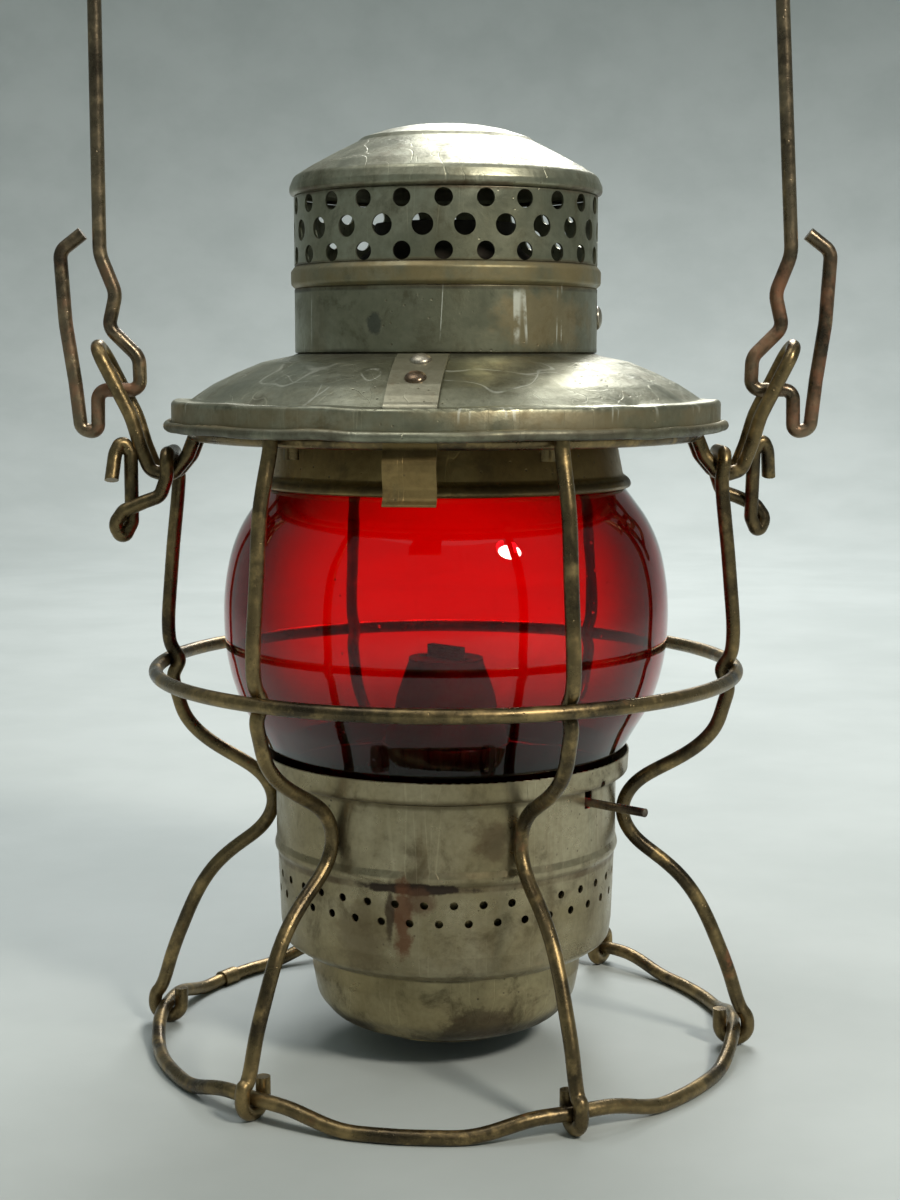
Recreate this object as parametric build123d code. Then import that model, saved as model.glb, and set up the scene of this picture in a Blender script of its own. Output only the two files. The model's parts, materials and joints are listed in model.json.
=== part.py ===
from build123d import *
import math
import os

# Railway hand lantern: bent-wire cage, perforated lower shell with a dropped oil pot,
# ruby globe, hinged ventilator lid, bail handle and a flat-wick burner.
# Millimetres. +Z is up, the lantern axis is Z, the floor is Z = 0.
# The front, with the latch strap, faces -Y. Azimuths run from the front towards +X.

# ---------------------------------------------------------------- driving dimensions
WIRE = 3.5                  # frame, ring, ear and bail wire
TOUCH = 0.05                # air left between pieces that rest against each other

BASE_R = 74.0               # centre line of the base ring
GUARD_Z, GUARD_CRIMP_R = 97.0, 69.5
TOP_R, TOP_Z = 62.0, 156.0  # centre line of the top ring

SHELL_R = 43.3              # outer radius of the lower shell
SHELL_T = 0.5               # sheet of the lower shell
GALLERY_R = 46.7            # outer radius of the globe gallery
GALLERY_Z = 70.6
POT_R = 34.4                # outer radius of the dropped pot

GLOBE_Z, GLOBE_H = 71.3, 82.5
GLOBE_R = 56.0

BAND_R = 37.5               # ventilator band above the brim
BRIM_R = 68.2               # outer face of the brim's upright band
TIN = 0.6                   # sheet of the lid

EAR_GAP = 10.0              # centre to centre of the two legs of a bail ear
EAR_POST_R = 69.0           # radius where the side posts straddle the ears
BAIL_AXIS_Z = 166.5         # height of the line the bail swings about
BAIL_R = 85.8               # half the width of the bail
BAIL_TOP = 358.0

HINGE_Y, HINGE_Z = 72.8, 152.5
HINGE_BARREL_R, HINGE_PIN_R = 2.2, 1.0
HINGE_LEAF_W = 11.4

SPINDLE_AZ, SPINDLE_Z, SPINDLE_R = 60.0, 67.2, 1.05
SPINDLE_REACH = 60.2
WHEEL_R = 2.4               # pitch radius of the wick wheels
WICK_W, WICK_T = 11.0, 2.0

EAR_TWIST = math.degrees(math.asin((EAR_GAP / 2 + WIRE + 0.2) / EAR_POST_R))


# ---------------------------------------------------------------- helpers
def upright_plane(azimuth):
    """Plane through the lantern axis: local x is the radius, local y is the height."""
    a = math.radians(azimuth)
    return Plane(
        origin=(0, 0, 0),
        x_dir=(math.sin(a), -math.cos(a), 0),
        z_dir=(-math.cos(a), -math.sin(a), 0),
    )


def at(azimuth, radius, height=0.0, across=0.0):
    """Point at a radius and height, moved sideways by `across` (towards more azimuth)."""
    a = math.radians(azimuth)
    return Vector(
        radius * math.sin(a) + across * math.cos(a),
        -radius * math.cos(a) + across * math.sin(a),
        height,
    )


def bent(points, bend, radii=None):
    """Polyline with rounded corners; a bend is made tighter where its legs are short."""
    pts = [p if isinstance(p, Vector) else Vector(*p) for p in points]
    if len(pts) == 2:
        return Line(*pts)
    rounded = []
    for i, (a, b, c) in enumerate(zip(pts, pts[1:], pts[2:])):
        u, v = a - b, c - b
        half_angle = math.radians(u.get_angle(v)) / 2
        reach = 0.47 * min(u.length, v.length)
        want = bend if radii is None else radii[i]
        rounded.append(min(want, reach * math.tan(half_angle)))
    return FilletPolyline(*pts, radius=rounded)


def wire_along(path, diameter=WIRE):
    """Round wire swept along a path."""
    return sweep(Plane(origin=path @ 0, z_dir=path % 0) * Circle(diameter / 2), path=path)


def pressed(points, thick, bend=2.0, radii=None):
    """Sheet metal turned about the lantern axis from a centre-line profile (radius, height)."""
    line = bent(points, bend, radii)
    face = make_face(offset(line, amount=thick / 2, side=Side.BOTH))
    return revolve(Plane.XZ * face, axis=Axis.Z)


def turned(points, bend=1.0):
    """Solid of revolution from an outline that starts and ends on the lantern axis."""
    line = bent(points, bend)
    outline = Wire(line.edges() + [Edge.make_line(line @ 1, line @ 0)])
    return revolve(Plane.XZ * make_face(outline), axis=Axis.Z)


def strip(plane, points, thick, width, bend=1.5):
    """Flat strip of a given width, bent along a centre line drawn in a plane."""
    line = bent(points, bend)
    face = make_face(offset(line, amount=thick / 2, side=Side.BOTH))
    return extrude(plane * face, amount=width / 2, both=True)


def drum(radius, z0, z1, inner=0.0):
    """Upright cylinder or tube about the lantern axis."""
    body = Pos(0, 0, z0) * Cylinder(radius, z1 - z0, align=(Align.CENTER, Align.CENTER, Align.MIN))
    if inner:
        body -= Pos(0, 0, z0 - 1) * Cylinder(
            inner, z1 - z0 + 2, align=(Align.CENTER, Align.CENTER, Align.MIN)
        )
    return body


def drill(radius, azimuth, height, diameter, depth=3.0):
    """Radial drill through a round wall at a radius."""
    return Plane(origin=at(azimuth, radius, height), z_dir=at(azimuth, 1)) * Cylinder(
        diameter / 2, 2 * depth
    )


def rivet_head(plane, diameter, rise, shank, shank_d):
    """Domed head standing on a plane, with a shank going down through it."""
    head = Sphere(diameter / 2)
    squash = scale(head, by=(1, 1, 2 * rise / diameter))
    dome = split(squash, bisect_by=Plane.XY, keep=Keep.TOP)
    pin = Pos(0, 0, -shank / 2 + 0.2) * Cylinder(shank_d / 2, shank + 0.4)
    return plane * (dome + pin)


os.makedirs("parts", exist_ok=True)
NODES = {}


def keep(name, shape):
    """Write one node and report its size."""
    solids = shape.solids()
    assert shape.is_valid and solids, name
    NODES[name] = shape
    export_step(shape, os.path.join("parts", name + ".step"))
    print(f"{name:24s} solids {len(solids):2d}  volume {shape.volume:10.1f}")


# ---------------------------------------------------------------- cage: rings
# The base ring rests on the floor and is lifted over each post's turned-under foot.
FOOT_LIFT = WIRE + TOUCH
ring_low, ring_high = WIRE / 2, WIRE / 2 + FOOT_LIFT


def base_ring_height(off_post):
    """Height of the base ring's centre line at an angle away from a post."""
    if off_post <= 5:
        return ring_high
    ease = min(1.0, (off_post - 5) / 16)
    return ring_low + (ring_high - ring_low) * (1 + math.cos(math.pi * ease)) / 2


span_points = [
    at(30 + off, BASE_R, base_ring_height(abs(off)))
    for off in (-30, -24, -20, -16, -12, -8, -5, 0, 5, 8, 12, 16, 20, 24, 30)
]
span = Spline(*span_points, tangents=(at(90, 1), at(150, 1)))
half_ring = wire_along(Wire([Rot(0, 0, 60 * k) * span for k in range(3)]))
base_ring = half_ring + Rot(0, 0, 180) * half_ring
keep("base_ring", base_ring)

# Sleeve of the butt weld that closes the base ring.
WELD_AZ = 243
keep(
    "base_ring_weld",
    Plane(origin=at(WELD_AZ, BASE_R, ring_low), z_dir=at(WELD_AZ + 90, 1))
    * (Cylinder(WIRE / 2 + 0.55, 5.5) - Cylinder(WIRE / 2 + 2 * TOUCH, 6.5)),
)

guard_r = GUARD_CRIMP_R + WIRE + TOUCH
keep("guard_ring", Pos(0, 0, GUARD_Z) * Torus(guard_r, WIRE / 2))

# The top ring is one closed wire; its two hairpins, left and right, are the bail ears.
ear_half = EAR_GAP / 2
hairpin_az = math.degrees(math.asin((ear_half + 4.5) / TOP_R))
EAR_LEG = [
    (61.97, 156.0), (64.3, 150.2), (68.5, 145.2), (73.6, 146.8),
    (76.0, 153.0), (78.0, 160.0), (86.6, 177.3),
]


def ear_wire(azimuth):
    """Hairpin ear: out from the ring under the brim, up to the apex and back."""
    start = at(azimuth, TOP_R * math.cos(math.radians(hairpin_az)), TOP_Z, -(ear_half + 4.5))
    leg = [at(azimuth, rho, z, -ear_half) for rho, z in EAR_LEG]
    back = [at(azimuth, rho, z, ear_half) for rho, z in reversed(EAR_LEG)]
    end = at(azimuth, TOP_R * math.cos(math.radians(hairpin_az)), TOP_Z, ear_half + 4.5)
    bends = [3.0, 4.0, 3.2, 3.2, 20, 20, 4.9]
    return bent([start] + leg + back + [end], 3.0, radii=bends + bends[::-1])


EAR_RIGHT = 90 + EAR_TWIST
EAR_LEFT = EAR_RIGHT + 180
ring_half = Wire(ear_wire(EAR_RIGHT).edges() + [
    Rot(0, 0, EAR_RIGHT - 90) * CenterArc((0, 0, TOP_Z), TOP_R, hairpin_az, 180 - 2 * hairpin_az)
])
half_solid = wire_along(ring_half)
keep("top_ring", half_solid + Rot(0, 0, 180) * half_solid)

# ---------------------------------------------------------------- cage: posts
foot_r = BASE_R + FOOT_LIFT
HOOK_R = TOP_R + FOOT_LIFT
# Radius and height of a post's centre line from the top ring down to the base ring.
POST_SWEEP = [
    (68.9, 142.0), (70.4, 128.0), (71.6, 115.0), (72.1, 104.0), (71.2, 100.2),
    (GUARD_CRIMP_R, GUARD_Z), (70.9, 93.6), (70.3, 89.0), (68.4, 83.2), (63.7, 77.6),
    (54.0, 71.6), (47.4, 66.6), (45.15, 60.8), (47.6, 54.6), (54.0, 49.1), (60.6, 43.2),
    (65.4, 36.2), (69.6, 27.0), (73.3, 17.0), (76.3, 9.0),
]


def post_foot():
    """Foot of a post: under the base ring and up inside it, as edges in the post's plane."""
    turn = CenterArc((BASE_R, ring_high), FOOT_LIFT, 0, -180)
    tip = Line((BASE_R - FOOT_LIFT, ring_high), (BASE_R - FOOT_LIFT, ring_high + 4.2))
    return [turn, tip]


def hooked_post(azimuth):
    """Post that hooks over the top ring from outside to inside."""
    over = CenterArc((TOP_R, TOP_Z), FOOT_LIFT, 180, -180)
    tail = Line((TOP_R - FOOT_LIFT, TOP_Z - 4.5), (TOP_R - FOOT_LIFT, TOP_Z))
    long = Spline(
        (HOOK_R, TOP_Z), (66.3, 151.6), *POST_SWEEP, (foot_r, ring_high),
        tangents=((0.0, -1.0), (0.0, -1.0)),
    )
    path = upright_plane(azimuth) * Wire([tail, over, long] + post_foot())
    return wire_along(path)


# Side posts: up behind an ear, over both its legs, then down as the hook that
# keeps the bail from dropping.
STAY = [
    (68.9, 8.7, 145.5), (70.6, 8.9, 140.6), (74.5, 9.2, 139.2), (79.6, 9.4, 137.0),
    (82.0, 9.3, 133.6), (80.1, 8.4, 129.6), (78.0, 6.8, 134.0), (78.2, 5.4, 150.9),
    (80.3, 5.6, 154.3), (81.9, 6.6, 151.0), (82.6, 8.6, 144.5),
]


def side_post(azimuth, ear_azimuth):
    """Side post whose top straddles the ear and ends as a stay hook."""
    plane = upright_plane(azimuth)
    side = EAR_GAP / 2 + WIRE + 0.2
    top_z = 151.0
    crossing = [
        at(ear_azimuth, EAR_POST_R, top_z, -side), at(ear_azimuth, EAR_POST_R, top_z, side),
    ]
    stay = [at(ear_azimuth, rho, z, u) for rho, u, z in STAY]
    start = plane.from_local_coords(Vector(68.75, 144.6, 0))
    upper = bent(
        [start] + crossing + stay, 2.4,
        radii=[4.2, 4.2, 6, 3.0, 6, 2.4, 2.6, 6, 2.2, 2.2, 8, 6],
    )
    long = plane * Spline(
        (68.75, 144.6), *POST_SWEEP, (foot_r, ring_high),
        tangents=((0.02, -1.0), (0.0, -1.0)),
    )
    path = Wire(upper.edges() + long.edges() + [plane * e for e in post_foot()])
    return wire_along(path)


POST_NAMES = {30: "post_front_right", 150: "post_rear_right",
              210: "post_rear_left", 330: "post_front_left"}
for azimuth, name in POST_NAMES.items():
    keep(name, hooked_post(azimuth))
keep("post_right_hook", side_post(90, EAR_RIGHT))
keep("post_left_hook", side_post(270, EAR_LEFT))

# ---------------------------------------------------------------- lower shell and pot
bead_z, seat_z = 52.0, GALLERY_Z
shell_mid = SHELL_R - SHELL_T / 2
shell = pressed(
    [
        (35.6, 26.2), (38.4, 26.4), (41.6, 28.6), (shell_mid - 0.9, 33.0),
        (shell_mid - 0.35, 48.6), (shell_mid - 0.25, 50.4), (shell_mid + 0.6, 52.0),
        (shell_mid, 54.2), (shell_mid, seat_z - 0.5),
    ],
    SHELL_T, bend=1.6,
)
DRAUGHT_HOLES = 38
for row_z, shift in ((46.0, 0.0), (41.5, 0.5)):
    for i in range(DRAUGHT_HOLES):
        shell -= drill(SHELL_R, (i + shift) * 360 / DRAUGHT_HOLES, row_z, 2.0, 2.5)

# Keyhole for the wick spindle: a slot open to the round hole under the gallery.
slot_foot = SPINDLE_Z - SPINDLE_R - 0.4
shell -= Plane(
    origin=at(SPINDLE_AZ, SHELL_R, (slot_foot + seat_z) / 2), x_dir=(0, 0, 1),
    z_dir=at(SPINDLE_AZ, 1),
) * Box(seat_z - slot_foot, 3.1, 6)
keep("shell", shell)

gallery = pressed(
    [(shell_mid - 0.3, seat_z - 0.1 + SHELL_T / 2), (GALLERY_R - 0.7, seat_z + 0.2 + SHELL_T / 2),
     (GALLERY_R - 0.4, seat_z + 5.4)],
    SHELL_T, bend=0.9,
)
gallery -= drill(GALLERY_R - 1, SPINDLE_AZ + 2.6, seat_z + 1.0, 2.0, 3.0)
keep("gallery_ring", gallery)

pot = pressed(
    [
        (0.3, 6.0), (21.0, 6.3), (29.0, 8.4), (32.8, 13.0), (POT_R - 0.3, 20.0), (POT_R - 0.3, 25.9),
    ],
    TIN, bend=6.0,
)
pot_base = drum(20.0, 4.6, 5.6, inner=17.5)
keep("pot", pot)
keep("pot_foot_ring", pot_base)

# Oil tank: a soldered drum that hangs inside the shell on its rim.
TANK_R, TANK_Z0, TANK_Z1 = 40.2, 29.4, 58.0
tank = turned(
    [
        (0, 8.0), (27.0, 8.0), (32.6, 16.0), (33.2, 26.8), (38.4, 29.0), (TANK_R, 33.0),
        (TANK_R, TANK_Z1), (14.5, 61.6), (0, 61.6),
    ],
    2.0,
)
hollow = turned(
    [
        (0, 8.8), (26.5, 8.8), (31.8, 16.4), (32.4, 27.4), (37.6, 29.8), (TANK_R - 0.8, 33.4),
        (TANK_R - 0.8, TANK_Z1 - 0.8), (14.3, 60.8), (0, 60.8),
    ],
    1.6,
)
FILLER_AZ, FILLER_R = 225, 27.0
filler_at = Plane(origin=at(FILLER_AZ, FILLER_R, 62.6), z_dir=(0, 0, 1))
tank_shell = tank - hollow - drum(7.4, 58, 64)
tank_shell -= filler_at * Pos(0, 0, -4) * Cylinder(4.6, 8)
tank_shell += filler_at * (Pos(0, 0, -2.4) * Cylinder(5.6, 4.2) - Pos(0, 0, -2.4) * Cylinder(4.6, 6))
keep("oil_tank", tank_shell)
cap = filler_at * (Pos(0, 0, 1.0) * Cylinder(7.0, 2.6) + Pos(0, 0, -1.4) * Cylinder(4.5, 3.2))
for k in range(18):
    groove = Pos(7.05 * math.cos(math.tau * k / 18), 7.05 * math.sin(math.tau * k / 18), 1.0)
    cap -= filler_at * groove * Cylinder(0.45, 4)
keep("filler_cap", cap)

# ---------------------------------------------------------------- burner
# The spindle runs along `reach`; the wick stands just beside it on the lantern axis.
side_step = WHEEL_R + WICK_T / 2
BURNER_AZ = SPINDLE_AZ - math.degrees(math.asin(side_step / SHELL_R))


def beside(reach, across, height):
    """Point in the burner's own directions: along the spindle, across it, and up."""
    return at(BURNER_AZ, reach, height, across)


burner_plane = Plane(origin=(0, 0, 0), x_dir=at(BURNER_AZ, 1), z_dir=(0, 0, 1))
spindle_line = Plane(origin=beside(0, side_step, SPINDLE_Z), z_dir=at(BURNER_AZ, 1))
clear_bore = 2 * (SPINDLE_R + 0.4)

collar = drum(10.8, 61.7, 64.6, inner=8.2) + drum(7.3, 57.5, 62.5, inner=6.7)
collar += drum(9, 61.7, 62.4, inner=6.7)
keep("burner_collar", collar)
basket = pressed(
    [(9.6, 64.95), (12.5, 65.2), (14.6, 70.0), (16.2, 76.0), (16.2, 78.2)], 0.5, bend=1.6
)
for i in range(24):
    basket -= drill(15.2, i * 15, 73.6, 1.5, 3)
basket -= spindle_line * Cylinder(clear_bore / 2 + 0.9, 60)
keep("burner_basket", basket)
tube_out = burner_plane * Pos(0, 0, 77.0) * Box(WICK_W + 1.8, WICK_T + 1.6, 38.0)
tube_in = burner_plane * Pos(0, 0, 77.0) * Box(WICK_W + 0.8, WICK_T + 0.6, 40.0)
window = burner_plane * Pos(0, 2.0, SPINDLE_Z) * Box(WICK_W + 4, 4.0, 7.0)
keep("wick_tube", tube_out - tube_in - window)
cone = pressed(
    [(15.2, 77.4), (15.2, 80.0), (12.75, 86.6), (12.2, 89.6), (9.2, 98.2)], 0.5, bend=1.5
)
keep("burner_cone", cone)
cone_top = drum(9.5, 98.5, 99.0) - burner_plane * Pos(0, 0, 98.7) * Box(WICK_W + 3.4, WICK_T + 3.0, 3)
keep("cone_top", cone_top)
# Bearing tabs that carry the spindle, one on each side of the wick tube.
tabs = Part() + [
    Plane(origin=beside(x, side_step, SPINDLE_Z), x_dir=(0, 0, 1), z_dir=at(BURNER_AZ, 1))
    * (Pos(0.25, 0, 0) * Box(3.7, 5.0, 0.7) - Cylinder(SPINDLE_R + TOUCH, 2))
    for x in (-9.6, 9.6)
]
keep("spindle_bearings", tabs)

spindle = Plane(
    origin=beside(-11.5, side_step, SPINDLE_Z), z_dir=at(BURNER_AZ, 1)
) * Cylinder(SPINDLE_R, SPINDLE_REACH + 11.5, align=(Align.CENTER, Align.CENTER, Align.MIN))
for x in (-3.0, 3.0):
    wheel_plane = Plane(origin=beside(x, side_step, SPINDLE_Z), z_dir=at(BURNER_AZ, 1))
    wheel = Cylinder(WHEEL_R - 0.35, 1.6)
    for k in range(10):
        wheel -= Rot(0, 0, 36 * k) * Pos(WHEEL_R - 0.2, 0, 0) * Cylinder(0.35, 3)
    spindle += wheel_plane * wheel
keep("wick_spindle", spindle)
wick = burner_plane * Pos(0, 0, 66.5) * Box(WICK_W, WICK_T, 71.0)
keep("wick", wick)

# ---------------------------------------------------------------- globe
glass = 2.6
globe_mid = [
    (42.2, GLOBE_Z), (43.9, 77.0), (50.4, 88.0), (54.0, 100.0),
    (GLOBE_R - glass / 2, 113.0), (53.4, 125.0), (49.4, 134.6), (43.6, 142.0), (41.2, 146.4),
    (40.2, GLOBE_Z + GLOBE_H),
]
outer = Spline(*[(r + 1.25, z) for r, z in globe_mid])
inner = Spline(*[(r - 1.25, z) for r, z in globe_mid])
globe_face = make_face(Wire([outer, Line(outer @ 1, inner @ 1), inner, Line(inner @ 0, outer @ 0)]))
keep("globe", revolve(Plane.XZ * globe_face, axis=Axis.Z))

# ---------------------------------------------------------------- lid
brim_top = 163.3
band_mid = BRIM_R - TIN / 2
brim = pressed(
    [
        (36.2, 175.6), (38.2, 174.7), (45.5, 173.2), (52.0, 170.5), (57.5, 167.6), (61.2, 165.0),
        (63.4, brim_top), (band_mid, brim_top), (band_mid, 157.8),
    ],
    TIN, radii=[3.0, 8.0, 12.0, 12.0, 8.0, 1.5, 0.8],
)
bead_mid_r, bead_mid_z = BRIM_R + 0.75, 157.4
brim_bead = Pos(0, 0, bead_mid_z) * Torus(bead_mid_r, 1.25)
STRAP_SLOT_R = 64.6
slot_box = Pos(0, -STRAP_SLOT_R, brim_top) * Box(12.8, 1.9, 3.0)
brim = brim + brim_bead - slot_box

chimney = pressed([(BAND_R - TIN / 2, 176.0), (BAND_R - TIN / 2, 191.0)], TIN)
mid_bead = pressed(
    [(BAND_R - 0.35, 191.6), (BAND_R + 0.55, 192.4), (BAND_R + 0.6, 195.4), (BAND_R - 0.3, 196.5)],
    TIN, bend=0.8,
)
keep("chimney_bead", mid_bead)
vents = pressed([(BAND_R - TIN / 2, 197.1), (BAND_R - TIN / 2, 213.4)], TIN)
VENTS, VENT_AZ = 24, 6.2
for row_z, dia, shift in ((211.1, 4.3, 0.0), (205.0, 5.1, 0.5), (199.1, 4.3, 0.0)):
    for i in range(VENTS):
        vents -= drill(BAND_R, VENT_AZ + (i + shift) * 360 / VENTS, row_z, dia, 2.5)
keep("vent_band", vents)
dome = pressed(
    [
        (37.3, 214.1), (38.3, 214.5), (38.3, 215.9), (37.3, 218.2), (33.4, 220.6), (27.5, 223.8),
        (21.9, 226.6), (20.7, 227.6), (15.4, 229.3), (10.5, 230.3), (5.5, 230.8), (0.35, 230.9),
    ],
    TIN, radii=[0.7, 1.0, 2.0, 6.0, 20.0, 1.0, 1.0, 12.0, 12.0, 12.0],
)
keep("dome", dome)
# Draught cone inside the ventilator: keeps gusts off the flame.
baffle = pressed([(35.6, 189.0), (33.5, 190.0), (18.0, 201.0), (17.2, 207.0)], TIN, bend=3)
keep("draught_cone", baffle)

globe_collar = pressed(
    [
        (39.2, 173.5), (41.2, 173.0), (42.4, 171.0), (42.4, 154.0), (44.1, 145.6), (45.9, 144.3),
        (46.1, 143.0), (45.1, 142.8),
    ],
    TIN, bend=1.6,
)
keep("globe_collar", globe_collar)

front = upright_plane(0)
strap_top = [
    (41.6, 175.05), (45.7, 174.1), (52.3, 171.4), (57.8, 168.5), (61.5, 165.95), (63.2, 164.6),
    (STRAP_SLOT_R, 163.7), (STRAP_SLOT_R, 161.6),
]
front_strap = strip(front, strap_top, 0.8, 12.0, bend=4)


def on_dish(radius):
    """Plane lying on the dished brim at a radius on the front centre line."""
    steps = [(45.5, 173.2), (52.0, 170.5), (57.5, 167.6)]
    (r0, z0), (r1, z1) = steps[0:2] if radius < 52 else steps[1:3]
    slope = (z1 - z0) / (r1 - r0)
    height = z0 + slope * (radius - r0)
    return Plane(origin=(0, -radius, height), x_dir=(1, 0, 0), z_dir=(0, slope, 1))


rivets = Part()
for radius in (46.4, 55.0):
    plane = on_dish(radius)
    front_strap -= plane * Cylinder(1.05, 6)
    rivets += plane * (
        split(Pos(0, 0, 1.35) * scale(Sphere(2.5), by=(1, 1, 0.5)),
              bisect_by=Plane.XY.offset(1.35), keep=Keep.TOP)
        + Pos(0, 0, 0.1) * Cylinder(1.0, 2.6)
        + Pos(0, 0, -0.85) * Cylinder(1.7, 0.7)
    )
    brim -= plane * Cylinder(1.05, 6)
keep("front_strap", front_strap)
keep("strap_rivets", rivets)

side_rivet = Plane(origin=at(97, BAND_R + 0.03, 184.3), z_dir=at(97, 1)) * (
    split(scale(Sphere(3.0), by=(1, 1, 0.45)), bisect_by=Plane.XY, keep=Keep.TOP)
    + Pos(0, 0, -0.8) * Cylinder(1.2, 1.8)
)
chimney -= drill(BAND_R, 97, 184.3, 2.5, 2)
keep("chimney", chimney)
keep("chimney_rivet", side_rivet)

# Lid leaf of the hinge: riveted to the brim's band, jogged round the bead, curled on the pin.
back = upright_plane(180)
leaf_sheet = 0.8
leaf = strip(
    back, [(BRIM_R + 0.5, 163.1), (BRIM_R + 0.5, 159.9), (71.15, 158.6), (71.15, 154.2)],
    leaf_sheet, HINGE_LEAF_W, bend=0.8,
)


def barrel(x0, x1):
    """Hinge barrel between two stations along the pin."""
    tube = Cylinder(HINGE_BARREL_R, x1 - x0) - Cylinder(HINGE_PIN_R + 0.06, x1 - x0 + 2)
    return Plane(origin=((x0 + x1) / 2, HINGE_Y, HINGE_Z), z_dir=(1, 0, 0)) * tube


half_leaf = HINGE_LEAF_W / 2
lid_leaf = leaf + barrel(-half_leaf, half_leaf)
lid_leaf -= Plane(origin=(0, HINGE_Y, HINGE_Z), z_dir=(1, 0, 0)) * Cylinder(HINGE_PIN_R + 0.06, 40)
LEAF_RIVET_Z = 161.5
for x in (-3.4, 3.4):
    lid_leaf -= Pos(x, BRIM_R, LEAF_RIVET_Z) * Rot(90, 0, 0) * Cylinder(0.95, 6)
    brim -= Pos(x, BRIM_R, LEAF_RIVET_Z) * Rot(90, 0, 0) * Cylinder(0.95, 6)
keep("lid_hinge_leaf", lid_leaf)
keep("brim", brim)
leaf_rivets = Part() + [
    Pos(x, 0, LEAF_RIVET_Z) * (
        Pos(0, BRIM_R + 0.35, 0) * Rot(90, 0, 0) * Cylinder(0.8, 2.6)
        + Pos(0, BRIM_R + 0.97, 0) * Rot(-90, 0, 0)
        * split(scale(Sphere(1.15), by=(1, 1, 0.7)), bisect_by=Plane.XY, keep=Keep.TOP)
        + Pos(0, BRIM_R - 1.28, 0) * Rot(90, 0, 0) * Cylinder(1.1, 0.6)
    )
    for x in (-3.4, 3.4)
]
keep("hinge_leaf_rivets", leaf_rivets)

# Frame bracket: a strap folded over the top ring, with a barrel on each side of the leaf.
ear_w = 4.2
clip_r = WIRE / 2 + TOUCH + leaf_sheet / 2
# The strap is straight and the ring is round, so the inner side stands off a little more.
clip_in = TOP_R - math.sqrt(TOP_R**2 - (half_leaf + 0.4 + ear_w) ** 2) + clip_r
clip = strip(
    back,
    [
        (HINGE_Y, HINGE_Z - 1.8), (TOP_R - clip_in, HINGE_Z - 1.8), (TOP_R - clip_in, TOP_Z + clip_r),
        (TOP_R + clip_r, TOP_Z + clip_r), (TOP_R + clip_r, HINGE_Z - 0.9),
    ],
    leaf_sheet, 2 * (half_leaf + 0.4 + ear_w), bend=1.2,
)
notch = Pos(0, HINGE_Y, HINGE_Z - 1) * Box(2 * (half_leaf + 0.4), 2 * 3.6, 6)
bracket = clip - notch
for side in (-1, 1):
    x0, x1 = sorted((side * (half_leaf + 0.4), side * (half_leaf + 0.4 + ear_w)))
    bracket += barrel(x0, x1)
bracket -= Plane(origin=(0, HINGE_Y, HINGE_Z), z_dir=(1, 0, 0)) * Cylinder(HINGE_PIN_R + TOUCH, 40)
keep("hinge_bracket", bracket)
pin_half = half_leaf + 0.4 + ear_w
pin = Plane(origin=(0, HINGE_Y, HINGE_Z), z_dir=(1, 0, 0)) * (
    Cylinder(HINGE_PIN_R, 2 * pin_half + 0.4)
    + Pos(0, 0, pin_half + 0.65) * Cylinder(1.7, 0.9)
    + Pos(0, 0, -pin_half - 0.65) * Cylinder(1.7, 0.9)
)
keep("hinge_pin", pin)

# ---------------------------------------------------------------- latch spring
LATCH_ROOT = (STRAP_SLOT_R, 160.4)
latch = strip(
    front,
    [LATCH_ROOT, (STRAP_SLOT_R, 154.6), (66.3, 151.8), (66.3, 149.4), (64.9, 146.0),
     (65.2, 143.4), (66.7, 142.4)],
    0.6, 12.0, bend=2.2,
)
keep("latch_spring", latch)

# ---------------------------------------------------------------- bail
# One wire. Each end drops inside its ear, crosses it on the swing axis, then turns up
# outside in a long hook whose cut end stands next to the main wire.
BAIL_END = [
    (89.9, 205.0), (95.6, 200.6), (94.6, 183.0), (92.5, 168.5), (91.3, 156.8), (87.1, 155.8),
    (86.9, BAIL_AXIS_Z), (76.3, BAIL_AXIS_Z), (76.5, 174.6), (83.9, 182.0), (82.0, 190.3),
    (BAIL_R, 200.0),
]
end_bends = [3.5, 30, 30, 2.3, 2.3, 2.5, 2.5, 4.5, 3.5, 6, 10]
bail_plane = upright_plane(EAR_RIGHT)
bow_r = 77.0
bail_points = BAIL_END + [(bow_r, BAIL_TOP), (-BAIL_R, BAIL_TOP)]
bail_points += [(-rho, z) for rho, z in reversed(BAIL_END)]
bail_path = bail_plane * bent(bail_points, 3, radii=end_bends + [82, 82] + end_bends[::-1])
keep("bail", wire_along(bail_path))
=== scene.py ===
import json
import math

import bpy
import bmesh
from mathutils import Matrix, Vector, noise


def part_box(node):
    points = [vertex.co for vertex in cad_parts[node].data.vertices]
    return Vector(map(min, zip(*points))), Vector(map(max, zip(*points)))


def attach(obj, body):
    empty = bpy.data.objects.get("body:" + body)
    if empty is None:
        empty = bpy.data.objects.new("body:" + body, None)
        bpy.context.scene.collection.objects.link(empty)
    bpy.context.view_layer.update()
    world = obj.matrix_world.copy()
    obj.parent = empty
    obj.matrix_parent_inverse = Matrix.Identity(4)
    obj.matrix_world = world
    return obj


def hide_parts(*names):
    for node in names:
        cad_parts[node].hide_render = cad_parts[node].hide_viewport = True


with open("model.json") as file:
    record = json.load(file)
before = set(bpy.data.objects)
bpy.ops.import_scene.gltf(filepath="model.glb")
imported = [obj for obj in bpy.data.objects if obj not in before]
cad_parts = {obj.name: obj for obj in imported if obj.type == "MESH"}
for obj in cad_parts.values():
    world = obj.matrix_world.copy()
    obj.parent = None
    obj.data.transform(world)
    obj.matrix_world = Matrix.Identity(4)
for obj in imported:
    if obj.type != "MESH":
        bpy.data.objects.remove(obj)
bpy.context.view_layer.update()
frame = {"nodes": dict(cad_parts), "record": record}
nodes = frame["nodes"]
scene = bpy.context.scene

# Marks, the globe and the brim are given in millimetres; MM turns them into Blender's
# metres. Floor, lamps and camera are in metres.
MM = 0.001


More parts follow.
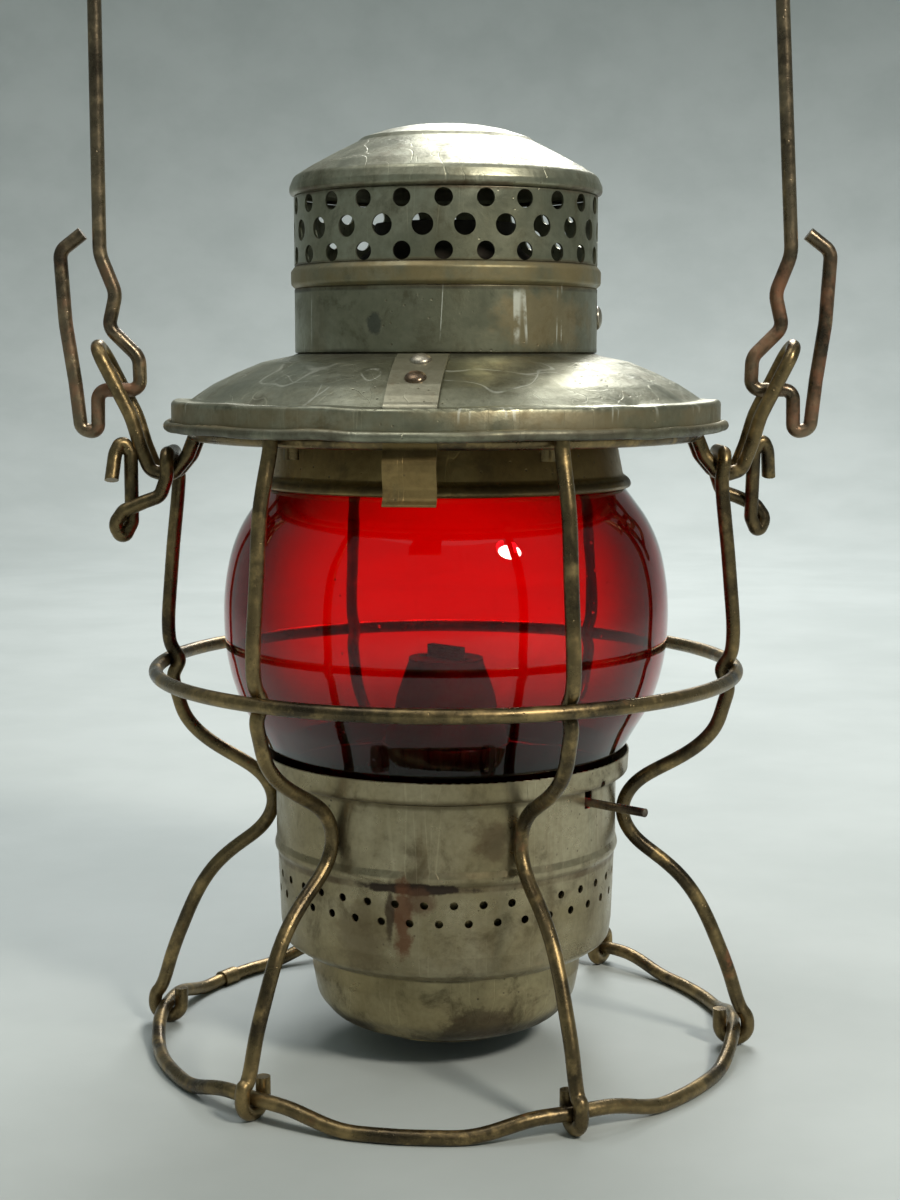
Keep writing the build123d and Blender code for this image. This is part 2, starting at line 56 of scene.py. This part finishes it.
# ---------------------------------------------------------------- shader helpers
class Net:
    """Builds one node material; every texture reads the object's own coordinates."""

    def __init__(self, name):
        self.mat = bpy.data.materials.new(name)
        self.mat.use_nodes = True
        self.tree = self.mat.node_tree
        self.tree.nodes.clear()
        self.bsdf = self.tree.nodes.new("ShaderNodeBsdfPrincipled")
        output = self.tree.nodes.new("ShaderNodeOutputMaterial")
        self.link(self.bsdf.outputs[0], output.inputs["Surface"])
        self.coord = self.tree.nodes.new("ShaderNodeTexCoord").outputs["Object"]
        self.xyz = self.tree.nodes.new("ShaderNodeSeparateXYZ")
        self.link(self.coord, self.xyz.inputs[0])

    def link(self, source, target):
        self.tree.links.new(source, target)

    def put(self, socket, value):
        """A socket takes a link, a number or a colour."""
        if hasattr(value, "links"):
            self.link(value, socket)
        elif isinstance(value, (tuple, list)) and len(value) == 3 and socket.type == "RGBA":
            socket.default_value = (*value, 1.0)
        else:
            socket.default_value = value

    def stretched(self, scale, turn=(0, 0, 0)):
        """Coordinates squeezed along some directions, so a texture draws out along them."""
        node = self.tree.nodes.new("ShaderNodeMapping")
        node.inputs["Scale"].default_value = scale
        node.inputs["Rotation"].default_value = turn
        self.link(self.coord, node.inputs["Vector"])
        return node.outputs[0]

    def noise(self, scale, detail, rough=0.55, vector=None, warp=0.0):
        """Cloudy noise; scale is in clouds per metre."""
        node = self.tree.nodes.new("ShaderNodeTexNoise")
        node.inputs["Scale"].default_value = scale
        node.inputs["Detail"].default_value = detail
        node.inputs["Roughness"].default_value = rough
        node.inputs["Distortion"].default_value = warp
        self.link(vector or self.coord, node.inputs["Vector"])
        return node.outputs["Fac"]

    def cells(self, scale):
        """Distance from scattered points, for pits and bubbles."""
        node = self.tree.nodes.new("ShaderNodeTexVoronoi")
        node.inputs["Scale"].default_value = scale
        self.link(self.coord, node.inputs["Vector"])
        return node.outputs["Distance"]

    def waves(self, scale, direction):
        """Even bands across one axis, for threads."""
        node = self.tree.nodes.new("ShaderNodeTexWave")
        node.bands_direction = direction
        node.inputs["Scale"].default_value = scale
        self.link(self.coord, node.inputs["Vector"])
        return node.outputs["Fac"]

    def math(self, kind, a, b=0.0):
        node = self.tree.nodes.new("ShaderNodeMath")
        node.operation = kind
        self.put(node.inputs[0], a)
        self.put(node.inputs[1], b)
        return node.outputs[0]

    def chained(self, kind, values):
        """One operation run through a list of values, two at a time."""
        result = values[0]
        for value in values[1:]:
            result = self.math(kind, result, value)
        return result

    def multiply(self, *values):
        return self.chained("MULTIPLY", values)

    def add(self, *values):
        return self.chained("ADD", values)

    def highest(self, *values):
        return self.chained("MAXIMUM", values)

    def subtract(self, a, b):
        return self.math("SUBTRACT", a, b)

    def step(self, value, low, high, to_low=0.0, to_high=1.0):
        """Smooth ramp of a value between two limits."""
        node = self.tree.nodes.new("ShaderNodeMapRange")
        node.interpolation_type = "SMOOTHSTEP"
        self.put(node.inputs["Value"], value)
        node.inputs["From Min"].default_value = low
        node.inputs["From Max"].default_value = high
        node.inputs["To Min"].default_value = to_low
        node.inputs["To Max"].default_value = to_high
        return node.outputs["Result"]

    def mix(self, factor, a, b):
        node = self.tree.nodes.new("ShaderNodeMix")
        node.data_type = "RGBA"
        self.put(node.inputs["Factor"], factor)
        self.put(node.inputs[6], a)
        self.put(node.inputs[7], b)
        return node.outputs[2]

    def near_height(self, centre, half, soft, wander=0.0):
        """One within half of a height, fading to zero over soft; wander makes it uneven."""
        height = self.xyz.outputs["Z"]
        if wander:
            drift = self.subtract(self.noise(70, 5, 0.6), 0.5)
            height = self.add(height, self.multiply(drift, wander * MM))
        away = self.math("ABSOLUTE", self.subtract(height, centre * MM))
        return self.step(away, half * MM, (half + soft) * MM, 1.0, 0.0)

    def front_half(self):
        """One on the side of the strap, zero on the side of the hinge."""
        return self.step(self.xyz.outputs["Y"], -0.012, -0.006, 1.0, 0.0)

    def scratches(self, scale, turn, width=0.0035):
        """Thin lines: the places where a drawn-out noise crosses its middle value."""
        value = self.noise(scale, 2.0, 0.4, self.stretched((1.0, 1.0, 0.06), turn))
        away = self.math("ABSOLUTE", self.subtract(value, 0.5))
        return self.step(away, width * 0.3, width, 1.0, 0.0)

    def bump(self, height, strength, distance):
        """Relief in the surface; distance is its full height in metres."""
        node = self.tree.nodes.new("ShaderNodeBump")
        node.inputs["Strength"].default_value = strength
        node.inputs["Distance"].default_value = distance
        self.link(height, node.inputs["Height"])
        self.link(node.outputs[0], self.bsdf.inputs["Normal"])

    def finish(self, colour, rough, metal):
        self.put(self.bsdf.inputs["Base Color"], colour)
        self.put(self.bsdf.inputs["Roughness"], rough)
        self.put(self.bsdf.inputs["Metallic"], metal)
        return self.mat


def aged_tin(name, main, pale, grime, stain, marks=(), *, rough, metal, grime_amount, seed=0.0):
    """Old tinplate: cloudy tarnish, fine pitting, scratches and runs, plus listed marks."""
    net = Net(name)
    aslant = net.stretched((1, 1, 1), (0.3 + seed, 0.2, seed))
    cloud = net.noise(22, 6, 0.62, aslant, 0.4)
    blotch = net.noise(85, 8, 0.68, aslant, 0.3)
    fine = net.noise(650, 5, 0.6)
    runs = net.noise(150, 5, 0.6, net.stretched((1, 1, 0.10)))
    pitted_places = net.noise(34, 3, 0.5, aslant)
    dents = net.noise(26, 2, 0.4, aslant)
    pits = net.multiply(
        net.step(net.cells(420), 0.05, 0.16, 1.0, 0.0), net.step(pitted_places, 0.46, 0.60)
    )
    scratched = net.highest(
        net.scratches(46, (1.9, 0.2, 1.3)),
        net.scratches(75, (0.2, 1.2, 2.3)),
        net.scratches(60, (0.9, 0.4, 0.3)),
    )
    scratched = net.multiply(scratched, net.step(cloud, 0.40, 0.60))

    colour = net.mix(net.step(cloud, 0.36, 0.66), main, pale)
    colour = net.mix(net.multiply(net.step(blotch, 0.50, 0.70), grime_amount), colour, grime)
    colour = net.mix(net.multiply(net.step(runs, 0.56, 0.74), 0.45), colour, stain)
    colour = net.mix(net.multiply(pits, 0.75), colour, grime)
    grain = net.multiply(net.step(fine, 0.35, 0.70), 0.25)
    colour = net.mix(grain, colour, tuple(0.55 * c for c in main))
    colour = net.mix(net.multiply(scratched, 0.28), colour, tuple(1.25 * c for c in pale))
    worn = net.add(net.step(blotch, 0.30, 0.75, rough[0], rough[1]), net.multiply(pits, 0.15))
    metalness = net.multiply(net.step(pits, 0.0, 1.0, 1.0, 0.5), metal)
    for mark in marks:
        mask, tint = mark(net)
        colour = net.mix(mask, colour, tint)
        worn = net.add(worn, net.multiply(mask, 0.12))
        metalness = net.multiply(metalness, net.step(mask, 0.0, 1.0, 1.0, 0.6))
    height = net.add(
        net.multiply(blotch, 0.7),
        net.multiply(fine, 0.25),
        net.multiply(scratched, -0.25),
        net.multiply(pits, -0.6),
        net.multiply(dents, 2.6),
    )
    net.bump(height, 0.40, 0.0005)
    return net.finish(colour, worn, metalness)


def band_mark(centre, half, soft, tint, amount, wander):
    """A stained band round the object at a height."""
    def mark(net):
        band = net.near_height(centre, half, soft, wander)
        breakup = net.step(net.noise(60, 6, 0.65), 0.30, 0.62)
        return net.multiply(band, breakup, amount), tint
    return mark


def patch_mark(x, z, half_x, half_z, tint, amount, soft, wander):
    """A ragged stain on the front at a place given across and up."""
    def mark(net):
        across = net.math("DIVIDE", net.subtract(net.xyz.outputs["X"], x * MM), half_x * MM)
        upward = net.math("DIVIDE", net.subtract(net.xyz.outputs["Z"], z * MM), half_z * MM)
        away = net.math(
            "SQRT", net.add(net.math("POWER", across, 2.0), net.math("POWER", upward, 2.0))
        )
        ragged = net.multiply(net.subtract(net.noise(190, 7, 0.7), 0.5), wander)
        patch = net.step(net.add(away, ragged), 0.75, 0.75 + soft, 1.0, 0.0)
        return net.multiply(patch, net.front_half(), amount), tint
    return mark


def scored_mark(low, high, tint, amount):
    """Fine pale scratches between two heights."""
    def mark(net):
        lines = net.highest(
            net.scratches(30, (1.3, 0.5, 0.2), 0.006), net.scratches(42, (0.5, 1.4, 0.9), 0.005)
        )
        place = net.near_height((low + high) / 2, (high - low) / 2, 3.0, 6.0)
        broken = net.step(net.noise(120, 5, 0.6), 0.42, 0.56)
        return net.multiply(lines, place, broken, amount), tint
    return mark


def old_wire(name, main, gold, dark, rust, *, rust_from, seed, rusty=()):
    """Tinned wire gone brown: worn golden in places, dark in others, rust blooms."""
    net = Net(name)
    aslant = net.stretched((1, 1, 1), (seed, 0.5 * seed, 0.2))
    cloud = net.noise(40, 6, 0.65, aslant, 0.3)
    blotch = net.noise(160, 7, 0.68, aslant)
    fine = net.noise(900, 4, 0.6)
    pits = net.step(net.cells(600), 0.06, 0.18, 1.0, 0.0)
    rusted = net.step(
        net.noise(55, 7, 0.7, net.stretched((1, 1, 1), (1.1, seed, 0.7))),
        rust_from, rust_from + 0.10,
    )
    rusted = net.highest(rusted, *(mask_of(net) for mask_of in rusty))

    colour = net.mix(net.step(cloud, 0.34, 0.60), dark, main)
    colour = net.mix(net.multiply(net.step(blotch, 0.48, 0.68), 0.7), colour, gold)
    colour = net.mix(net.multiply(rusted, 0.8), colour, rust)
    colour = net.mix(net.multiply(pits, 0.4), colour, dark)
    worn = net.add(net.step(blotch, 0.30, 0.70, 0.22, 0.44), net.multiply(rusted, 0.25))
    height = net.add(
        net.multiply(blotch, 0.6), net.multiply(fine, 0.3), net.multiply(pits, -0.4)
    )
    net.bump(height, 0.45, 0.0004)
    return net.finish(colour, worn, net.step(rusted, 0.0, 1.0, 0.9, 0.35))


# ---------------------------------------------------------------- materials
BROWN = (0.07, 0.035, 0.012)
BLACK = (0.018, 0.015, 0.011)
BRASS_TINT = (0.25, 0.185, 0.075)

lid_marks = [
    band_mark(194.0, 2.6, 1.2, BRASS_TINT, 0.75, 1.0),
    band_mark(213.9, 0.5, 0.8, BROWN, 0.8, 0.6),
    band_mark(190.8, 0.3, 0.5, BLACK, 0.7, 0.4),
    band_mark(196.9, 0.2, 0.4, BLACK, 0.7, 0.4),
    band_mark(175.3, 0.7, 0.9, BLACK, 0.6, 0.8),
    band_mark(160.8, 1.6, 1.2, (0.20, 0.15, 0.07), 0.7, 1.6),
    band_mark(157.0, 1.1, 0.9, (0.06, 0.05, 0.03), 0.85, 1.0),
    patch_mark(-12.5, 182.5, 1.8, 2.2, (0.04, 0.05, 0.04), 0.8, 0.5, 2.2),
    patch_mark(26.0, 183.0, 9.0, 6.0, (0.30, 0.21, 0.09), 0.45, 0.8, 2.4),
    scored_mark(180.0, 189.0, (0.62, 0.64, 0.56), 0.8),
    scored_mark(163.0, 172.0, (0.55, 0.56, 0.48), 0.5),
]
lid_tin = aged_tin(
    "lid_tin_aged", (0.235, 0.232, 0.155), (0.40, 0.40, 0.30), (0.075, 0.068, 0.036),
    (0.17, 0.135, 0.065), lid_marks, rough=(0.28, 0.52), metal=0.9, grime_amount=0.70,
)
shell_marks = [
    band_mark(50.0, 0.5, 0.7, BROWN, 0.65, 1.0),
    band_mark(70.6, 0.8, 1.0, (0.10, 0.07, 0.03), 0.6, 1.5),
    patch_mark(-2.5, 49.9, 14.0, 1.5, (0.022, 0.012, 0.006), 0.97, 0.35, 1.6),
    patch_mark(-5.2, 43.0, 1.9, 8.5, (0.13, 0.048, 0.018), 0.85, 0.7, 2.6),
    patch_mark(-8.3, 44.5, 0.9, 6.5, (0.04, 0.022, 0.010), 0.85, 0.7, 2.4),
    patch_mark(-1.0, 47.0, 3.0, 2.6, (0.10, 0.045, 0.02), 0.7, 0.8, 2.6),
    patch_mark(16.0, 62.0, 3.5, 4.0, (0.12, 0.075, 0.035), 0.6, 0.8, 3.0),
    patch_mark(-16.0, 37.0, 5.0, 6.0, (0.14, 0.10, 0.05), 0.5, 1.0, 3.0),
]
shell_tin = aged_tin(
    "shell_tin_aged", (0.275, 0.225, 0.125), (0.43, 0.375, 0.25), (0.085, 0.060, 0.030),
    (0.18, 0.115, 0.05), shell_marks, rough=(0.24, 0.50), metal=0.9, grime_amount=0.66,
    seed=1.3,
)
pot_marks = [
    band_mark(7.5, 2.5, 3.5, BLACK, 0.85, 3.0),
    band_mark(25.6, 0.6, 0.8, BLACK, 0.8, 0.8),
    patch_mark(12.0, 13.0, 7.0, 4.0, (0.05, 0.03, 0.015), 0.75, 0.8, 3.0),
]
pot_tin = aged_tin(
    "pot_tin_aged", (0.26, 0.205, 0.10), (0.40, 0.335, 0.19), (0.05, 0.036, 0.019),
    (0.14, 0.085, 0.04), pot_marks, rough=(0.26, 0.54), metal=0.9, grime_amount=0.75,
    seed=2.1,
)
strap_marks = [band_mark(149.0, 9.0, 5.0, (0.075, 0.062, 0.028), 0.95, 2.0)]
strap_tin = aged_tin(
    "strap_tin_worn", (0.32, 0.30, 0.21), (0.45, 0.43, 0.32), (0.11, 0.09, 0.05),
    (0.20, 0.14, 0.07), strap_marks, rough=(0.32, 0.52), metal=0.88, grime_amount=0.4,
    seed=0.7,
)
dark_tin = aged_tin(
    "sooted_tin", (0.045, 0.040, 0.034), (0.09, 0.078, 0.06), (0.012, 0.011, 0.010),
    (0.07, 0.04, 0.02), rough=(0.55, 0.85), metal=0.6, grime_amount=0.7, seed=3.0,
)
burner_brass = aged_tin(
    "burner_brass_dark", (0.20, 0.13, 0.05), (0.34, 0.24, 0.10), (0.05, 0.035, 0.02),
    (0.10, 0.13, 0.09), rough=(0.35, 0.6), metal=0.9, grime_amount=0.6, seed=4.0,
)
collar_marks = [band_mark(144.0, 0.7, 0.8, BLACK, 0.6, 0.8)]
collar_tin = aged_tin(
    "collar_brassy", (0.24, 0.155, 0.055), (0.40, 0.28, 0.11), (0.05, 0.035, 0.018),
    (0.12, 0.07, 0.03), collar_marks, rough=(0.28, 0.5), metal=0.9, grime_amount=0.55,
    seed=5.0,
)


def hook_rust(net):
    """Rust where the bail's ends rub in the ears."""
    at_the_ears = net.near_height(176.0, 16.0, 16.0)
    return net.multiply(at_the_ears, net.step(net.noise(75, 7, 0.7), 0.44, 0.66))


cage_wire = old_wire(
    "cage_wire_tarnished", (0.20, 0.145, 0.068), (0.40, 0.285, 0.125), (0.060, 0.046, 0.028),
    (0.24, 0.085, 0.03), rust_from=0.62, seed=0.4,
)
bail_wire = old_wire(
    "bail_wire_rusty", (0.21, 0.165, 0.105), (0.38, 0.29, 0.17), (0.070, 0.055, 0.038),
    (0.23, 0.095, 0.042), rust_from=0.62, seed=1.9, rusty=[hook_rust],
)
spindle_steel = old_wire(
    "spindle_rusty", (0.26, 0.21, 0.15), (0.42, 0.36, 0.26), (0.07, 0.05, 0.04),
    (0.30, 0.13, 0.06), rust_from=0.50, seed=2.7,
)
rivet_dull = old_wire(
    "rivet_dull", (0.40, 0.37, 0.30), (0.50, 0.46, 0.36), (0.16, 0.11, 0.07),
    (0.25, 0.12, 0.05), rust_from=0.52, seed=0.9,
)


def ruby_glass():
    """Clear ruby glass, faintly wavy, darker towards its edges and darker towards its bottom."""
    net = Net("ruby_glass_clear")
    ripple = net.noise(28, 3, 0.5, net.stretched((1, 1, 0.35)))
    seeds = net.step(net.cells(190), 0.0, 0.09, 1.0, 0.0)
    tone = net.step(net.noise(16, 3, 0.5), 0.30, 0.70)
    net.bump(net.add(ripple, net.multiply(seeds, 0.25)), 0.12, 0.0012)
    net.bsdf.inputs["Transmission Weight"].default_value = 1.0
    net.bsdf.inputs["IOR"].default_value = 1.50
    edge = net.tree.nodes.new("ShaderNodeLayerWeight")
    edge.inputs["Blend"].default_value = 0.5
    colour = net.mix(tone, (0.96, 0.0080, 0.018), (0.90, 0.0050, 0.013))
    colour = net.mix(net.step(edge.outputs["Facing"], 0.06, 0.58), colour, (0.13, 0.0008, 0.003))
    ragged_height = net.add(net.xyz.outputs["Z"], net.multiply(net.noise(45, 5, 0.6), 0.012))
    # The colour goes near black towards the bottom of the glass, with a ragged upper edge.
    darker_low = net.step(ragged_height, 0.078, 0.110, 0.88, 0.0)
    colour = net.mix(darker_low, colour, (0.07, 0.0012, 0.002))
    dust = net.step(net.noise(240, 5, 0.7), 0.60, 0.80)
    return net.finish(colour, net.step(dust, 0.0, 1.0, 0.015, 0.09), 0.0)


def cotton_wick():
    """Flat woven wick, yellowed, burnt black at its top."""
    net = Net("wick_cotton_charred")
    weave = net.multiply(net.waves(420, "X"), net.waves(420, "Z"))
    cotton = net.mix(weave, (0.20, 0.15, 0.09), (0.42, 0.35, 0.24))
    ragged_height = net.add(net.xyz.outputs["Z"], net.multiply(net.noise(400, 4), 0.004))
    char = net.step(ragged_height, 0.092, 0.099)
    net.bump(weave, 0.6, 0.0004)
    return net.finish(net.mix(char, cotton, (0.008, 0.007, 0.007)), 0.95, 0.0)


glass = ruby_glass()
wick_cloth = cotton_wick()

finish_of = {
    "lid_tin": lid_tin, "shell_tin": shell_tin, "pot_tin": pot_tin, "strap_tin": strap_tin,
    "dark_tin": dark_tin, "burner_brass": burner_brass, "cage_wire": cage_wire,
    "bail_wire": bail_wire, "spindle_steel": spindle_steel, "rivet_steel": rivet_dull,
    "wick_cotton": wick_cloth, "ruby_glass": glass,
}


def clothe(piece, material):
    """One material all over a piece."""
    piece.data.materials.clear()
    piece.data.materials.append(material)


for part in frame["record"]["subparts"]:
    clothe(nodes[part["node"]], finish_of[part["material_slot"]])
clothe(nodes["globe_collar"], collar_tin)
clothe(nodes["latch_spring"], burner_brass)


# ---------------------------------------------------------------- pieces made here
def shade_smooth(mesh):
    for polygon in mesh.polygons:
        polygon.use_smooth = True


def add_piece(name, mesh, material):
    piece = bpy.data.objects.new(name, mesh)
    scene.collection.objects.link(piece)
    clothe(piece, material)
    return piece


def rounded(points, rounds=3):
    """Corner-cut version of an open profile, keeping its ends."""
    for _ in range(rounds):
        cut = [points[0]]
        for (r0, z0), (r1, z1) in zip(points, points[1:]):
            cut.append((0.75 * r0 + 0.25 * r1, 0.75 * z0 + 0.25 * z1))
            cut.append((0.25 * r0 + 0.75 * r1, 0.25 * z0 + 0.75 * z1))
        cut.append(points[-1])
        points = cut
    return points


def turned(name, profile, segments, warp):
    """Mesh of a closed profile of (radius, height) in mm, turned about the lantern's axis."""
    verts, faces = [], []
    rows = len(profile)
    for i in range(segments):
        azimuth = math.tau * i / segments
        for point in profile:
            r, z = warp(*point, azimuth)
            verts.append((r * MM * math.sin(azimuth), -r * MM * math.cos(azimuth), z * MM))
    for i in range(segments):
        j = (i + 1) % segments
        for k in range(rows):
            m = (k + 1) % rows
            faces.append((i * rows + k, j * rows + k, j * rows + m, i * rows + m))
    mesh = bpy.data.meshes.new(name)
    mesh.from_pydata(verts, [], faces)
    mesh.validate()
    mesh.update()
    shade_smooth(mesh)
    return mesh


def glass_warp(r, z, azimuth):
    """Blown glass is a little out of round."""
    p = Vector((math.sin(azimuth) * 1.4, math.cos(azimuth) * 1.4, z * 0.03))
    return r + 0.12 * noise.noise(p), z


# Middle of the glass wall, as radius and height from the bottom rim to the top rim.
globe_low, globe_high = (c.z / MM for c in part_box("globe"))
globe_mid = [
    (42.2, globe_low), (42.9, globe_low + 2.5), (43.9, 77.0), (46.8, 82.2), (50.4, 88.0),
    (52.7, 94.2), (54.2, 101.0), (54.75, 107.5), (54.75, 114.5), (53.9, 121.5), (52.2, 128.5),
    (49.2, 134.8), (45.6, 139.6), (43.0, 143.0), (41.3, 146.6), (40.5, 150.5),
    (40.2, globe_high),
]
HALF_WALL = 1.25
inside = rounded([(r - HALF_WALL, z) for r, z in globe_mid])
outside = rounded([(r + HALF_WALL, z) for r, z in globe_mid])
globe_mesh = turned("ruby_globe", outside + inside[::-1], 256, glass_warp)
globe = add_piece("ruby_globe", globe_mesh, glass)
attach(globe, "cage")
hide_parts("globe")


def smooth(value, low, high):
    """Zero below low, one above high, eased between them."""
    t = min(max((value - low) / (high - low), 0.0), 1.0)
    return t * t * (3 - 2 * t)


MOST_LIFT = 0.95
LIFT_FROM, LIFT_FULL = 50, 67  # radii: no lift inside the first, all of it from the second
STRAIGHT, FREE = 7, 22  # degrees round from the strap and from the hinge: no lift, all of it


def bent_brim():
    """The brim, with the lifts that years of knocks have left in its rolled edge."""
    mesh = nodes["brim"].data.copy()
    bm = bmesh.new()
    bm.from_mesh(mesh)
    bmesh.ops.remove_doubles(bm, verts=bm.verts, dist=2e-6)
    for v in bm.verts:
        azimuth = math.atan2(v.co.x, -v.co.y)
        from_strap = abs(math.degrees(azimuth))
        free = smooth(from_strap, STRAIGHT, FREE) * smooth(180 - from_strap, STRAIGHT, FREE)
        outer = smooth(math.hypot(v.co.x, v.co.y) / MM, LIFT_FROM, LIFT_FULL)
        around = Vector((math.sin(azimuth), math.cos(azimuth), 0))
        lift = 0.5 + 0.9 * noise.noise(around * 2.1) + 0.35 * noise.noise(around * 6.0)
        v.co.z += MOST_LIFT * MM * free * outer * min(max(lift, 0.0), 1.0)
    bm.to_mesh(mesh)
    bm.free()
    if "custom_normal" in mesh.attributes:
        mesh.attributes.remove(mesh.attributes["custom_normal"])
    shade_smooth(mesh)
    mesh.set_sharp_from_angle(angle=math.radians(38))
    piece = add_piece("brim_bent", mesh, lid_tin)
    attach(piece, "lid")
    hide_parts("brim")


bent_brim()

# ---------------------------------------------------------------- floor, light, camera
floor_net = Net("floor_matt")
floor_grain = floor_net.noise(9, 5, 0.6)
floor_colour = floor_net.mix(
    floor_net.step(floor_grain, 0.3, 0.7), (0.43, 0.47, 0.455), (0.48, 0.52, 0.505)
)
floor_matt = floor_net.finish(floor_colour, 0.85, 0.0)


def studio_bowl():
    """Pale floor that curves up into a wall all the way round, well away from the lantern."""
    flat, bend, tall = 1.2, 1.1, 2.6  # metres: flat radius, radius of the curve, top of the wall
    segments, steps = 96, 16
    rail = [(0.35, 0.0), (flat, 0.0)]
    for k in range(1, steps + 1):
        t = math.pi / 2 * k / steps
        rail.append((flat + bend * math.sin(t), bend * (1 - math.cos(t))))
    rail.append((flat + bend, tall))
    verts = [(0.0, 0.0, 0.0)]
    for i in range(segments):
        t = math.tau * i / segments
        verts += [(r * math.cos(t), r * math.sin(t), z) for r, z in rail]
    rows, faces = len(rail), []
    for i in range(segments):
        here, there = 1 + i * rows, 1 + (i + 1) % segments * rows
        faces.append((0, here, there))
        for k in range(rows - 1):
            faces.append((here + k, here + k + 1, there + k + 1, there + k))
    mesh = bpy.data.meshes.new("studio_floor")
    mesh.from_pydata(verts, [], faces)
    mesh.materials.append(floor_matt)
    shade_smooth(mesh)
    floor = bpy.data.objects.new("studio_floor", mesh)
    scene.collection.objects.link(floor)


studio_bowl()

world = bpy.data.worlds.new("studio_world")
scene.world = world
world.use_nodes = True
background = world.node_tree.nodes["Background"]
background.inputs["Color"].default_value = (0.80, 0.86, 0.88, 1)
background.inputs["Strength"].default_value = 0.55


def soft_light(name, place, target, size, power, tint):
    """A round area lamp; places and size in metres, power in watts."""
    data = bpy.data.lights.new(name, "AREA")
    data.shape = "DISK"
    data.size = size
    data.energy = power
    data.color = tint
    lamp = bpy.data.objects.new(name, data)
    lamp.location = place
    lamp.rotation_euler = (Vector(target) - Vector(place)).to_track_quat("-Z", "Y").to_euler()
    scene.collection.objects.link(lamp)


soft_light("key", (0.75, -0.75, 0.95), (0, 0, 0.12), 0.26, 11.0, (1.0, 0.94, 0.84))
soft_light("top", (-0.25, -0.15, 1.15), (0, 0, 0.12), 0.50, 1.9, (1.0, 0.99, 0.96))
soft_light("back_glow", (0.05, 0.45, 0.75), (0, 0.05, 0.11), 0.35, 3.0, (1, 1, 1))
soft_light("floor_glow", (0.0, 1.15, 0.85), (0, 1.05, 0.0), 0.5, 9.0, (1, 1, 1))

# Where the photo was taken from: degrees round from the front, metres from the axis and
# above the table, degrees down, and degrees by which it aims beside the axis.
CAMERA_AZ, CAMERA_BACK, CAMERA_HEIGHT, CAMERA_DIP = 7.0, 0.4964, 0.1747, 7.02
AXIS_OFFSET_DEG = 0.116
LENS_LONG_SIDE = 1974 / 1200  # focal length over the long side of the picture
SENSOR_MM = 36
around = math.radians(CAMERA_AZ)
camera_data = bpy.data.cameras.new("photo_camera")
camera_data.sensor_width = SENSOR_MM
camera_data.lens = SENSOR_MM * LENS_LONG_SIDE
camera_data.clip_start = 0.01
camera = bpy.data.objects.new("photo_camera", camera_data)
camera.location = (
    CAMERA_BACK * math.sin(around), -CAMERA_BACK * math.cos(around), CAMERA_HEIGHT
)
camera.rotation_euler = (
    math.radians(90 - CAMERA_DIP), 0, math.radians(CAMERA_AZ - AXIS_OFFSET_DEG)
)
scene.collection.objects.link(camera)
scene.camera = camera
scene.view_settings.view_transform = "Standard"
